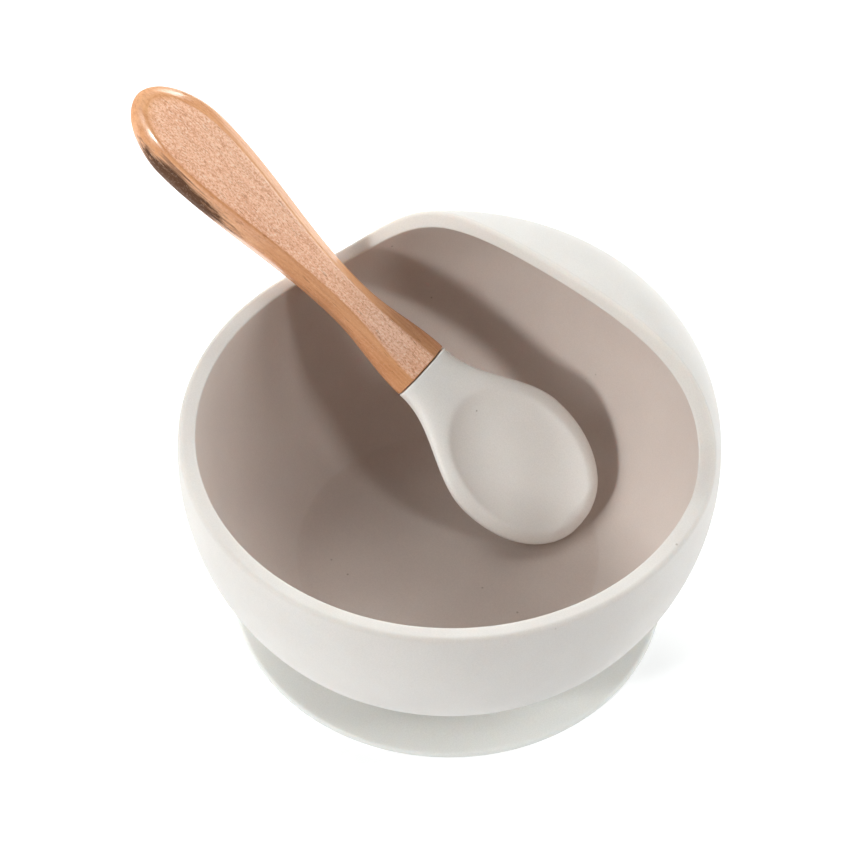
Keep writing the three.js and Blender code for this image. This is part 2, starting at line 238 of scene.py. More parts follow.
def new_material(name):
    material = bpy.data.materials.new(name)
    material.use_nodes = True
    tree = material.node_tree
    shader = tree.nodes["Principled BSDF"]
    coordinates = tree.nodes.new("ShaderNodeTexCoord").outputs["Object"]
    return material, tree, shader, coordinates


def spoon_coordinates(tree, coordinates):
    """The spoon's own coordinates: +X along the handle, +Z out of the scoop."""
    node = tree.nodes.new("ShaderNodeMapping")
    node.vector_type = "TEXTURE"
    node.inputs["Location"].default_value = SPOON_END * MM
    node.inputs["Rotation"].default_value = spoon_turn.to_euler()
    tree.links.new(coordinates, node.inputs["Vector"])
    return node.outputs["Vector"]


def noise(tree, coordinates, scale, detail=2.0, roughness=0.5):
    node = tree.nodes.new("ShaderNodeTexNoise")
    node.inputs["Scale"].default_value = scale
    node.inputs["Detail"].default_value = detail
    node.inputs["Roughness"].default_value = roughness
    tree.links.new(coordinates, node.inputs["Vector"])
    return node.outputs["Fac"]


def stretched(tree, coordinates, scale):
    node = tree.nodes.new("ShaderNodeMapping")
    node.inputs["Scale"].default_value = scale
    tree.links.new(coordinates, node.inputs["Vector"])
    return node.outputs["Vector"]


def ramp(tree, value, stops):
    """A colour ramp with (place, colour) stops; a colour is three numbers or one grey."""
    node = tree.nodes.new("ShaderNodeValToRGB")
    elements = node.color_ramp.elements
    while len(elements) < len(stops):
        elements.new(0.5)
    for element, (place, colour) in zip(elements, stops):
        element.position = place
        rgb = colour if isinstance(colour, tuple) else (colour,) * 3
        element.color = (*rgb, 1)
    tree.links.new(value, node.inputs["Fac"])
    return node.outputs["Color"]


def mixed(tree, first, second, factor, blend="MIX"):
    """Mixes two colours; each input is an output socket or a plain value."""
    node = tree.nodes.new("ShaderNodeMix")
    node.data_type = "RGBA"
    node.blend_type = blend
    for socket, value in zip((node.inputs[6], node.inputs[7], node.inputs[0]), (first, second, factor)):
        if isinstance(value, bpy.types.NodeSocket):
            tree.links.new(value, socket)
        else:
            socket.default_value = (*value, 1) if isinstance(value, tuple) else value
    return node.outputs[2]


def bumped(tree, height, strength, distance, below=None):
    node = tree.nodes.new("ShaderNodeBump")
    node.inputs["Strength"].default_value = strength
    node.inputs["Distance"].default_value = distance
    tree.links.new(height, node.inputs["Height"])
    if below is not None:
        tree.links.new(below, node.inputs["Normal"])
    return node.outputs["Normal"]


# painted shade inside the bowl: a warmer, deeper tone standing in for shade and warm bounced light
INSIDE_PAINTED_SHADE = (1.015, 0.93, 0.895)
# painted light on the rim: a paler tone standing in for light shining through the thin silicone
RIM_PAINTED_GLOW = (1.13, 1.13, 1.12)
DUST_COLOUR = (0.42, 0.38, 0.34)


def silicone(name, dark, light, roughness_low, roughness_high, subsurface):
    """Matte moulded silicone: faint clouding, a fine satin grain and sparse dust.

    Points whose attribute "inside" is above 0 take painted shade, a slightly warmer, deeper tone,
    and points whose attribute "pale" is above 0 are paler, a painted glow of light through thin
    silicone.
    """
    material, tree, shader, place = new_material(name)
    clouds = ramp(tree, noise(tree, place, scale=45, detail=3), [(0.35, dark), (0.65, light)])
    grain = ramp(tree, noise(tree, place, scale=3200, detail=2), [(0.3, 0.93), (0.7, 1.0)])
    colour = mixed(tree, clouds, grain, 1.0, "MULTIPLY")
    dust = tree.nodes.new("ShaderNodeTexVoronoi")
    dust.inputs["Scale"].default_value = 140
    tree.links.new(place, dust.inputs["Vector"])
    speck = ramp(tree, dust.outputs["Distance"], [(0.026, 1.0), (0.052, 0.0)])
    patchy = ramp(tree, noise(tree, place, scale=60, detail=0), [(0.50, 0.0), (0.54, 1.0)])
    mask = mixed(tree, speck, patchy, 1.0, "MULTIPLY")
    colour = mixed(tree, colour, DUST_COLOUR, mask)
    # painted shade inside the bowl and a painted glow of light on the rim
    for attribute, tone in (("inside", INSIDE_PAINTED_SHADE), ("pale", RIM_PAINTED_GLOW)):
        where = tree.nodes.new("ShaderNodeAttribute")
        where.attribute_name = attribute
        colour = mixed(tree, colour, tone, where.outputs["Fac"], "MULTIPLY")
    tree.links.new(colour, shader.inputs["Base Color"])
    rough_noise = noise(tree, place, scale=130, detail=4)
    rough = ramp(tree, rough_noise, [(0.3, roughness_low), (0.7, roughness_high)])
    tree.links.new(rough, shader.inputs["Roughness"])
    slow_noise = noise(tree, place, scale=70, detail=2)
    slow = bumped(tree, slow_noise, strength=0.25, distance=0.0003)
    fine_noise = noise(tree, place, scale=2400, detail=3)
    fine = bumped(tree, fine_noise, strength=0.10, distance=0.00008, below=slow)
    tree.links.new(fine, shader.inputs["Normal"])
    shader.inputs["Subsurface Weight"].default_value = subsurface
    shader.inputs["Subsurface Radius"].default_value = (1.0, 0.75, 0.6)
    shader.inputs["Subsurface Scale"].default_value = 0.003
    shader.inputs["IOR"].default_value = 1.41
    shader.inputs["Sheen Weight"].default_value = 0.12
    shader.inputs["Sheen Roughness"].default_value = 0.45
    return material


def facing(tree, direction, start, end):
    """1 where the surface faces along or against a direction, 0 where it is turned away."""
    normal = tree.nodes.new("ShaderNodeTexCoord").outputs["Normal"]
    dot = tree.nodes.new("ShaderNodeVectorMath")
    dot.operation = "DOT_PRODUCT"
    dot.inputs[1].default_value = direction
    tree.links.new(normal, dot.inputs[0])
    size = tree.nodes.new("ShaderNodeMath")
    size.operation = "ABSOLUTE"
    tree.links.new(dot.outputs["Value"], size.inputs[0])
    return ramp(tree, size.outputs["Value"], [(start, 0.0), (end, 1.0)])


BROAD_FROM = 0.93                   # how squarely a broad facet faces up or down
BROAD_TO = 0.985
END_FROM = 0.35                     # how far the rounded end faces along the spoon
END_TO = 0.60
# the sides are more orange than the broad facets for the grain's cut; their darker tone is partly
# painted shade, and the facets' lighter tone partly painted light
FACE_DARK = (0.92, 0.500, 0.320)
FACE_LIGHT = (0.98, 0.590, 0.400)
SIDE_DARK_GRAIN_AND_SHADE = (0.66, 0.300, 0.140)
SIDE_LIGHT_GRAIN_AND_SHADE = (0.82, 0.425, 0.215)
STREAK_COLOUR = (0.84, 0.76, 0.70)
DARK_RAY_COLOUR = (0.76, 0.62, 0.54)
LIGHT_RAY_COLOUR = (1.0, 0.78, 0.63)
PORE_COLOUR = (0.50, 0.40, 0.34)
SIDE_ROUGHNESS = 0.24
FACE_ROUGHNESS = 0.50
DULL_ROUGHNESS = (0.85, 0.85, 0.85)
SIDE_VARNISH = 0.4
FACE_VARNISH = 0.05
NO_VARNISH = (0.0, 0.0, 0.0)
# a dark streak of painted shade and painted dark reflection along the bulb's side
PAINTED_STREAK_AT = (125, 10.5, 1.9)     # middle of the dark streak, in the spoon's coordinates
PAINTED_STREAK_REACH = (34, 6, 8)
PAINTED_STREAK_FEATHER = 0.7
PAINTED_SHADE_COLOUR = (0.100, 0.038, 0.013)


def painted_shade_streak(tree, place, streaks):
    """1 in a short streak of painted shade and painted dark reflection along the bulb's side, feathered
    by the grain.
    """
    patch = tree.nodes.new("ShaderNodeMapping")
    patch.vector_type = "TEXTURE"
    patch.inputs["Location"].default_value = Vector(PAINTED_STREAK_AT) * MM
    patch.inputs["Scale"].default_value = Vector(PAINTED_STREAK_REACH) * MM
    tree.links.new(place, patch.inputs["Vector"])
    length = tree.nodes.new("ShaderNodeVectorMath")
    length.operation = "LENGTH"
    tree.links.new(patch.outputs["Vector"], length.inputs[0])
    feathered = tree.nodes.new("ShaderNodeMath")
    feathered.operation = "MULTIPLY_ADD"
    feathered.inputs[1].default_value = PAINTED_STREAK_FEATHER
    tree.links.new(streaks, feathered.inputs[0])
    tree.links.new(length.outputs["Value"], feathered.inputs[2])
    return ramp(tree, feathered.outputs["Value"], [(0.75, 1.0), (1.0, 0.0)])


def varnished_beech(name):
    """Beech under clear varnish; the grain runs along the spoon."""
    material, tree, shader, place = new_material(name)
    place = spoon_coordinates(tree, place)
    broad = facing(tree, spoon_up, BROAD_FROM, BROAD_TO)
    band_place = stretched(tree, place, (0.06, 1.0, 0.8))
    bands = noise(tree, band_place, scale=230, detail=3, roughness=0.55)
    # the sides' darker colours are partly the grain's cut and partly painted shade
    face = ramp(tree, bands, [(0.30, FACE_DARK), (0.70, FACE_LIGHT)])
    side = ramp(tree, bands, [(0.30, SIDE_DARK_GRAIN_AND_SHADE), (0.70, SIDE_LIGHT_GRAIN_AND_SHADE)])
    colour = mixed(tree, side, face, broad)
    streak_place = stretched(tree, place, (0.035, 1.0, 1.0))
    streaks = noise(tree, streak_place, scale=1500, detail=3, roughness=0.6)
    # painted shade and painted dark reflection along the bulb's side
    shade_streak = painted_shade_streak(tree, place, streaks)
    colour = mixed(tree, colour, PAINTED_SHADE_COLOUR, shade_streak)
    dark_streaks = ramp(tree, streaks, [(0.32, STREAK_COLOUR), (0.58, 1.0)])
    colour = mixed(tree, colour, dark_streaks, 0.9, "MULTIPLY")
    # ray flecks: fine short dashes, plain on the two broad facets and faint on the sides
    ray_place = stretched(tree, place, (0.5, 1.0, 0.6))
    rays = noise(tree, ray_place, scale=3000, detail=2, roughness=0.75)
    fleck_share = ramp(tree, broad, [(0.0, 0.16), (1.0, 1.0)])
    dark_rays = ramp(tree, rays, [(0.36, DARK_RAY_COLOUR), (0.50, 1.0)])
    dark_rays = mixed(tree, (1.0, 1.0, 1.0), dark_rays, fleck_share)
    colour = mixed(tree, colour, dark_rays, 1.0, "MULTIPLY")
    light_rays = ramp(tree, rays, [(0.54, 0.0), (0.68, 0.7)])
    light_share = mixed(tree, light_rays, fleck_share, 1.0, "MULTIPLY")
    colour = mixed(tree, colour, LIGHT_RAY_COLOUR, light_share)
    pore_place = stretched(tree, place, (0.14, 1.0, 1.0))
    pores = noise(tree, pore_place, scale=2400, detail=1, roughness=0.5)
    dark_pores = ramp(tree, pores, [(0.27, PORE_COLOUR), (0.33, 1.0)])
    colour = mixed(tree, colour, dark_pores, 0.5, "MULTIPLY")
    tree.links.new(colour, shader.inputs["Base Color"])
    # the varnish is thin on the two broad facets, the painted shade streak and the rounded end
    end = facing(tree, spoon_along, END_FROM, END_TO)
    dull = mixed(tree, shade_streak, (1.0, 1.0, 1.0), end)
    rough = ramp(tree, broad, [(0.0, SIDE_ROUGHNESS), (1.0, FACE_ROUGHNESS)])
    rough = mixed(tree, rough, DULL_ROUGHNESS, dull)
    tree.links.new(rough, shader.inputs["Roughness"])
    gloss = ramp(tree, broad, [(0.0, SIDE_VARNISH), (1.0, FACE_VARNISH)])
    gloss = mixed(tree, gloss, NO_VARNISH, dull)
    tree.links.new(gloss, shader.inputs["Coat Weight"])
    grain = bumped(tree, rays, strength=0.30, distance=0.00004)
    swell = bumped(tree, streaks, strength=0.20, distance=0.00005, below=grain)
    tree.links.new(swell, shader.inputs["Normal"])
    shader.inputs["IOR"].default_value = 1.5
    shader.inputs["Coat Roughness"].default_value = 0.09
    return material


def moulded_nylon(name):
    """Off-white moulded nylon with faint flow marks along the core."""
    material, tree, shader, place = new_material(name)
    place = spoon_coordinates(tree, place)
    flow = noise(tree, stretched(tree, place, (0.3, 1.0, 1.0)), scale=350, detail=3)
    colour = ramp(tree, flow, [(0.3, (0.72, 0.69, 0.62)), (0.7, (0.80, 0.78, 0.72))])
    tree.links.new(colour, shader.inputs["Base Color"])
    rough = ramp(tree, noise(tree, place, scale=900, detail=2), [(0.3, 0.42), (0.7, 0.56)])
    tree.links.new(rough, shader.inputs["Roughness"])
    marks = bumped(tree, flow, strength=0.3, distance=0.0001)
    tree.links.new(marks, shader.inputs["Normal"])
    return material


bowl_silicone = silicone(
    "bowl_silicone", dark=(0.638, 0.600, 0.573), light=(0.667, 0.631, 0.602),
    roughness_low=0.52, roughness_high=0.66, subsurface=0.60,
)
cup_silicone = silicone(
    "cup_silicone", dark=(0.760, 0.757, 0.735), light=(0.790, 0.787, 0.765),
    roughness_low=0.40, roughness_high=0.54, subsurface=0.50,
)
spoon_silicone = silicone(
    "spoon_silicone", dark=(0.862, 0.835, 0.805), light=(0.888, 0.862, 0.834),
    roughness_low=0.48, roughness_high=0.60, subsurface=0.25,
)
beech = varnished_beech("beech")
core_nylon = moulded_nylon("core_nylon")


# ---- bowl ----

def wall_point(r, z, normal_r, normal_z):
    length = math.hypot(normal_r, normal_z)
    return r, z, normal_r / length, normal_z / length


def belly_point(turn):
    """Outer wall from the underside (turn near 0) up to the widest ring (90 degrees)."""
    height = WIDEST_HEIGHT - BELLY_BOTTOM
    down = max(math.cos(turn), 0) ** (2 / BELLY_RISE_POWER)
    out = math.sin(turn) ** (2 / BELLY_SPREAD_POWER)
    normal_r = BELLY_SPREAD_POWER * out ** (BELLY_SPREAD_POWER - 1) / BOWL_RADIUS
    normal_z = -BELLY_RISE_POWER * down ** (BELLY_RISE_POWER - 1) / height
    return wall_point(BOWL_RADIUS * out, WIDEST_HEIGHT - height * down, normal_r, normal_z)


def curl_point(angle):
    """Outer wall from the widest ring (angle 0) up and inwards (90 degrees is level)."""
    out = max(math.cos(angle), 0) ** (2 / CURL_POWER)
    up = math.sin(angle) ** (2 / CURL_POWER)
    r = BOWL_RADIUS - CURL_SIZE * (1 - out)
    z = WIDEST_HEIGHT + CURL_SIZE * up
    return wall_point(r, z, out ** (CURL_POWER - 1), up ** (CURL_POWER - 1))


curl_lengths = [0.0]
for i in range(CURL_STEPS):
    before = curl_point(i * math.pi / 2 / CURL_STEPS)
    here = curl_point((i + 1) * math.pi / 2 / CURL_STEPS)
    curl_lengths.append(curl_lengths[-1] + math.hypot(here[0] - before[0], here[1] - before[1]))


def curl_length(angle):
    place = angle / (math.pi / 2) * CURL_STEPS
    i = min(int(place), CURL_STEPS - 1)
    return curl_lengths[i] + (curl_lengths[i + 1] - curl_lengths[i]) * (place - i)


def curl_point_at_length(length):
    low = 0
    high = CURL_STEPS - 1
    while low < high:
        middle = (low + high) // 2
        if curl_lengths[middle + 1] < length:
            low = middle + 1
        else:
            high = middle
    part = (length - curl_lengths[low]) / (curl_lengths[low + 1] - curl_lengths[low])
    return curl_point((low + part) * math.pi / 2 / CURL_STEPS)


def cut_height(y):
    """Side view of the rim: level, then sweeping up to the hood's upright front edge."""
    if y >= HOOD_EDGE:
        return math.inf
    along = max((y - HOOD_RISE_START) / (HOOD_EDGE - HOOD_RISE_START), 0)
    below = (1 - along ** HOOD_RISE_POWER) ** (1 / HOOD_RISE_POWER)
    return HOOD_RISE_TOP - (HOOD_RISE_TOP - RIM_FRONT_HEIGHT) * below


def rim_angle(turn):
    low = 0.0
    high = math.pi / 2
    for _ in range(RIM_SEARCH_STEPS):
        middle = (low + high) / 2
        r, z, _, _ = curl_point(middle)
        if z < cut_height(r * math.cos(turn)):
            low = middle
        else:
            high = middle
    return low


def inset(point, depth):
    r, z, normal_r, normal_z = point
    return r - depth * normal_r, z - depth * normal_z


def bowl_slice(turn):
    """One radial slice of the bowl's skin, from under the floor round the rim to the floor."""
    height = WIDEST_HEIGHT - BELLY_BOTTOM
    cut_down = (WIDEST_HEIGHT - BOWL_UNDERSIDE) / height
    first_turn = math.acos(cut_down ** (BELLY_RISE_POWER / 2))
    foot = belly_point(first_turn)
    recess = CUP_SPIGOT_RADIUS + BOND_GAP
    points = [
        (recess, CUP_HEIGHT + BOND_GAP),
        (recess, BOWL_UNDERSIDE + RECESS_EDGE),
        (recess + RECESS_EDGE, BOWL_UNDERSIDE),
        ((recess + foot[0]) / 2, BOWL_UNDERSIDE),
        (foot[0] - FOOT_EDGE, BOWL_UNDERSIDE),
    ]
    outer = []
    for i in range(BELLY_ROWS):
        along = i / BELLY_ROWS
        point = belly_point(first_turn + (math.pi / 2 - first_turn) * along ** BELLY_ROW_CROWDING)
        depth = FLOOR_THICKNESS + (WALL - FLOOR_THICKNESS) * smooth_step(2 * along)
        outer.append((point, depth))
    rim_length = curl_length(rim_angle(turn))
    wall_length = rim_length - RIM_SHOULDER
    for i in range(CURL_ROWS + 1):
        outer.append((curl_point_at_length(wall_length * i / CURL_ROWS), WALL))
    points += [(point[0], point[1]) for point, _ in outer]
    for i in range(1, SHOULDER_ROWS + 1):
        bend = i / SHOULDER_ROWS * math.pi / 2
        back = RIM_SHOULDER * (1 - math.sin(bend))
        into = RIM_SHOULDER * (1 - math.cos(bend))
        points.append(inset(curl_point_at_length(rim_length - back), into))
    face_end = WALL - RIM_INNER_EDGE
    rim_point = curl_point_at_length(rim_length)
    points.append(inset(rim_point, (RIM_SHOULDER + face_end) / 2))
    for i in range(INNER_EDGE_ROWS + 1):
        bend = i / INNER_EDGE_ROWS * math.pi / 2
        back = RIM_INNER_EDGE * (1 - math.cos(bend))
        into = face_end + RIM_INNER_EDGE * math.sin(bend)
        points.append(inset(curl_point_at_length(rim_length - back), into))
    points += [inset(point, depth) for point, depth in reversed(outer)]
    floor_r, floor_z = points[-1]
    for row in range(FLOOR_ROWS):
        inwards = row / (FLOOR_ROWS - 1)
        share = FLOOR_ROW_OUTER + (FLOOR_ROW_INNER - FLOOR_ROW_OUTER) * inwards
        points.append((floor_r * share, floor_z))
    return points


def tone_bowl(shell, rings):
    """Marks the points of the inside for painted shade and of the rim for a painted glow, the
    silicone's two tones.
    """
    first_inside = len(rings) - FLOOR_ROWS - CURL_ROWS - BELLY_ROWS - 1
    first_pale = first_inside - PALE_ROWS
    for attribute in ("inside", "pale"):
        shell.data.attributes.new(attribute, "FLOAT", "POINT")
    inside = shell.data.attributes["inside"].data
    pale = shell.data.attributes["pale"].data
    for point in range(len(rings) * BOWL_COLUMNS):
        row = point // BOWL_COLUMNS
        inside[point].value = 1.0 if row >= first_inside else 0.0
        if first_pale <= row < first_inside:
            height = rings[row][point % BOWL_COLUMNS][2]
            risen = smooth_step((height - RIM_FRONT_HEIGHT) / PALE_FULL_RISE)
            pale[point].value = PALE_SHARE_LEVEL + (1 - PALE_SHARE_LEVEL) * risen
    # the last point closes the floor
    inside[-1].value = 1.0


def make_bowl():
    turns = [i * 2 * math.pi / BOWL_COLUMNS for i in range(BOWL_COLUMNS)]
    slices = [bowl_slice(turn) for turn in turns]
    rings = []
    for row in range(len(slices[0])):
        ring = []
        for turn, points in zip(turns, slices):
            r, z = points[row]
            ring.append((-r * math.sin(turn), r * math.cos(turn), z))
        rings.append(ring)
    under = (0, 0, CUP_HEIGHT + BOND_GAP)
    floor = (0, 0, rings[-1][0][2])
    shell = ring_piece("bowl_shell", rings, under, floor, bowl_silicone)
    tone_bowl(shell, rings)
    return shell


# ---- suction cup ----

def quadratic(start, control, end, steps):
    points = []
    for i in range(1, steps + 1):
        t = i / steps
        points.append(tuple(
            (1 - t) ** 2 * a + 2 * t * (1 - t) * b + t * t * c
            for a, b, c in zip(start, control, end)
        ))
    return points


def make_cup():
    # the underside, out from the middle
    profile = [(r, CUP_DOME) for r in (CUP_MIDDLE_RING, CUP_DOME_RING, CUP_DOME_FLAT)]
    dome_bend = (CUP_DOME_BEND, CUP_DOME)
    profile += quadratic(profile[-1], dome_bend, (CUP_LIP_INNER, 0), CUP_SKIRT_STEPS)
    profile += [(CUP_LIP_INNER + CUP_LIP_RING, 0), (CUP_RADIUS - CUP_EDGE_ROUNDING, 0)]
    # the edge
    edge_side = (CUP_RADIUS, CUP_EDGE_ROUNDING)
    profile += quadratic(profile[-1], (CUP_RADIUS, 0), edge_side, CUP_LOWER_EDGE_STEPS)
    edge_corner = (CUP_RADIUS, CUP_EDGE_THICKNESS)
    edge_top = (CUP_RADIUS - CUP_EDGE_SLOPE, CUP_EDGE_THICKNESS)
    profile += quadratic(profile[-1], edge_corner, edge_top, CUP_UPPER_EDGE_STEPS)
    # the top, back to the spigot
    skirt_bend = (CUP_SKIRT_BEND, CUP_SKIRT_BEND_HEIGHT)
    skirt_inner = (CUP_SKIRT_INNER, CUP_SKIRT_INNER_HEIGHT)
    profile += quadratic(profile[-1], skirt_bend, skirt_inner, CUP_SKIRT_STEPS)
    spigot_foot = (CUP_SPIGOT_FOOT, CUP_SPIGOT_FOOT_HEIGHT)
    spigot_side = (CUP_SPIGOT_RADIUS, CUP_SPIGOT_START)
    profile += quadratic(profile[-1], spigot_foot, spigot_side, CUP_FOOT_STEPS)
    profile += [
        (CUP_SPIGOT_RADIUS, CUP_HEIGHT - CUP_SPIGOT_EDGE),
        (CUP_SPIGOT_RADIUS - CUP_SPIGOT_EDGE, CUP_HEIGHT),
        (CUP_TOP_RING, CUP_HEIGHT),
        (CUP_MIDDLE_RING, CUP_HEIGHT),
    ]
    turns = [i * 2 * math.pi / CUP_SIDES for i in range(CUP_SIDES)]
    rings = [[(-r * math.sin(a), r * math.cos(a), z) for a in turns] for r, z in profile]
    return ring_piece("suction_disc", rings, (0, 0, CUP_DOME), (0, 0, CUP_HEIGHT), cup_silicone)


# ---- spoon, lying along its own +X with its scoop facing +Z ----

def spoon_half_width(x):
    if x < HEAD_WIDEST_AT:
        back = (HEAD_WIDEST_AT - x) / HEAD_WIDEST_AT
        return HEAD_HALF_WIDTH * (1 - back ** HEAD_END_POWER) ** (1 / HEAD_END_POWER)
    if x < JOINT_AT:
        return cosine_blend(HEAD_HALF_WIDTH, NECK_HALF_WIDTH, x, HEAD_WIDEST_AT, NECK_AT)
    if x < WAIST_AT:
        return cosine_blend(NECK_HALF_WIDTH, WAIST_HALF_WIDTH, x, JOINT_AT, WAIST_AT)
    if x < BULB_AT:
        return cosine_blend(WAIST_HALF_WIDTH, BULB_HALF_WIDTH, x, WAIST_AT, BULB_AT)
    on = (x - BULB_AT) / (SPOON_LENGTH - BULB_AT)
    return BULB_HALF_WIDTH * max(1 - on ** BULB_END_POWER, 0) ** (1 / BULB_END_POWER)


def spoon_half_thickness(x):
    if x < JOINT_AT:
        return cosine_blend(HEAD_HALF_THICKNESS, NECK_HALF_THICKNESS, x, NECK_THICKENS_AT, NECK_AT)
    if x < WAIST_AT:
        return cosine_blend(NECK_HALF_THICKNESS, WAIST_HALF_THICKNESS, x, JOINT_AT, WAIST_AT)
    if x < BULB_AT:
        return cosine_blend(WAIST_HALF_THICKNESS, BULB_HALF_THICKNESS, x, WAIST_AT, BULB_AT)
    on = (x - BULB_AT) / (SPOON_LENGTH - BULB_AT)
    share = max(1 - on ** BULB_END_SIDE_POWER, 0) ** (1 / BULB_END_SIDE_POWER)
    return BULB_HALF_THICKNESS * share


def spoon_mid_height(x):
    t = (x - SCOOP_AT) / (BULB_AT - SCOOP_AT)
    return -HANDLE_SAG * math.sin(math.pi * t) ** 2 if 0 < t < 1 else 0.0


HEAD_SIDES = 128
HEAD_RINGS = 90
HEAD_RING_CROWDING = 0.5           # rings lie closer together towards the head's end


def head_ring(x, shrink=0.0):
    half_width = spoon_half_width(x) - shrink
    half_thickness = spoon_half_thickness(x) * min(1, math.sqrt(x / HEAD_END_TAPER)) - shrink
    power = cosine_blend(HEAD_SECTION_POWER, NECK_SECTION_POWER, x, NECK_THICKENS_AT, NECK_AT)
    ring = []
    for i in range(HEAD_SIDES):
        turn = i * 2 * math.pi / HEAD_SIDES
        y = half_width * signed_power(math.cos(turn), power)
        edge = half_thickness * signed_power(math.sin(turn), power)
        reach = ((x - SCOOP_AT) / SCOOP_HALF_LENGTH) ** 2 + (y / SCOOP_HALF_WIDTH) ** 2
        if math.sin(turn) > 0:
            inside = 1 - reach
            softened = (inside + math.sqrt(inside * inside + SCOOP_EDGE_SOFTNESS)) / 2
            lower = SCOOP_DEPTH * max(softened ** SCOOP_WALL_POWER - SCOOP_EDGE_CUT, 0)
        else:
            lower = SCOOP_DEPTH * max(1 - reach * SWELL_SPREAD, 0)
        ring.append((x, y, spoon_mid_height(x) + edge - lower))
    return ring


def core_ring(x, half_width, half_thickness, count):
    """A ring of the space for the core, in step with the outer rings."""
    ring = []
    for i in range(count):
        turn = i * 2 * math.pi / count
        y = (half_width + BOND_GAP) * math.cos(turn)
        z = (half_thickness + BOND_GAP) * math.sin(turn)
        ring.append((x, y, z + spoon_mid_height(JOINT_AT)))
    return ring


def make_head():
    end = JOINT_AT - BOND_GAP / 2
    tang_end = JOINT_AT - CORE_IN_NECK - BOND_GAP
    tang_start = JOINT_AT - TANG_ENDS_BEFORE_JOINT
    rings = []
    for i in range(1, HEAD_RINGS + 1):
        along = i / HEAD_RINGS
        share = HEAD_RING_CROWDING * along ** 2 + (1 - HEAD_RING_CROWDING) * along
        rings.append(head_ring((end - JOINT_EDGE) * share))
    rings += [
        head_ring(end - JOINT_EDGE_STEP, HEAD_EDGE_INSET),
        head_ring(end, JOINT_EDGE),
        core_ring(end, CORE_RADIUS, CORE_RADIUS, HEAD_SIDES),
        core_ring(JOINT_AT - ROD_STARTS_BEFORE_JOINT, CORE_RADIUS, CORE_RADIUS, HEAD_SIDES),
        core_ring(tang_start, TANG_HALF_WIDTH, TANG_HALF_THICKNESS, HEAD_SIDES),
        core_ring(tang_end, TANG_HALF_WIDTH, TANG_HALF_THICKNESS, HEAD_SIDES),
    ]
    bottom = (tang_end, 0, spoon_mid_height(JOINT_AT))
    return ring_piece("spoon_scoop", rings, (0, 0, 0), bottom, spoon_silicone)


def facet_corners(x):
    if x < WAIST_AT:
        facet = cosine_blend(FACET_AT_JOINT, FACET_AT_WAIST, x, JOINT_AT, WAIST_AT)
    else:
        facet = cosine_blend(FACET_AT_WAIST, FACET_AT_BULB, x, WAIST_AT, BULB_AT)
    return [
        (1, SIDE_FLAT), (facet, 1), (-facet, 1), (-1, SIDE_FLAT),
        (-1, -SIDE_FLAT), (-facet, -1), (facet, -1), (1, -SIDE_FLAT),
    ]


CORNER_STEPS = 5
EDGE_STEPS = 3
HANDLE_SIDES = 8 * (CORNER_STEPS + 1 + EDGE_STEPS)
HANDLE_RINGS = 110


def handle_ring(x, shrink=0.0):
    """A flattened octagon with rounded corners, which melts into an ellipse at the end."""
    half_width = spoon_half_width(x) - shrink
    half_thickness = spoon_half_thickness(x) - shrink
    corners = [Vector((half_width * a, half_thickness * b)) for a, b in facet_corners(x)]
    outline = []
    for i, corner in enumerate(corners):
        before = corners[i - 1]
        after = corners[(i + 1) % len(corners)]
        cut_before = min(CORNER_CUT, CORNER_CUT_SHARE * (before - corner).length)
        cut_after = min(CORNER_CUT, CORNER_CUT_SHARE * (after - corner).length)
        start = corner + (before - corner).normalized() * cut_before
        end = corner + (after - corner).normalized() * cut_after
        outline.append(tuple(start))
        outline += quadratic(start, corner, end, CORNER_STEPS)
        next_start = after + (corner - after).normalized() * cut_after
        for step in range(1, EDGE_STEPS + 1):
            outline.append(tuple(end.lerp(next_start, step / (EDGE_STEPS + 1))))
    melt = smooth_step((x - FACETS_FADE_AT) / (SPOON_LENGTH - FACETS_FADE_AT))
    ring = []
    for y, z in outline:
        turn = math.atan2(z / half_thickness, y / half_width)
        round_y = half_width * math.cos(turn)
        round_z = half_thickness * math.sin(turn)
        height = z + (round_z - z) * melt
        ring.append((x, y + (round_y - y) * melt, spoon_mid_height(x) + height))
    return ring


def make_handle():
    start = JOINT_AT + BOND_GAP / 2
    run = SPOON_LENGTH - HANDLE_LAST_RING - start
    deep = JOINT_AT + CORE_IN_WOOD + BOND_GAP
    rings = [
        core_ring(deep, CORE_RADIUS, CORE_RADIUS, HANDLE_SIDES),
        core_ring(start, CORE_RADIUS, CORE_RADIUS, HANDLE_SIDES),
        handle_ring(start, JOINT_EDGE),
        handle_ring(start + JOINT_EDGE_STEP, HANDLE_EDGE_INSET),
        handle_ring(start + JOINT_EDGE),
    ]
    for i in range(1, HANDLE_RINGS + 1):
        x = start + run * math.sin(i / HANDLE_RINGS * math.pi / 2) ** HANDLE_RING_POWER
        if x > start + HANDLE_FIRST_RING:
            rings.append(handle_ring(x))
    bottom = (deep, 0, spoon_mid_height(JOINT_AT))
    return ring_piece("beech_handle", rings, bottom, (SPOON_LENGTH, 0, 0), beech)


# ---- pieces on their bodies ----
bowl_shell = make_bowl()
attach(bowl_shell, "bowl")
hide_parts("bowl")

suction_disc = make_cup()
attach(suction_disc, "cup")
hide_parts("suction_cup")
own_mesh(suction_disc)

spoon_scoop = make_head()
spoon_scoop.data.transform(spoon_place)
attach(spoon_scoop, "spoon")
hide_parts("spoon_head")

beech_handle = make_handle()
beech_handle.data.transform(spoon_place)
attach(beech_handle, "spoon")
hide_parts("spoon_handle")

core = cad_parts["spoon_core"]
if not core.material_slots:
    core.data.materials.append(core_nylon)
core.material_slots[0].material = core_nylon

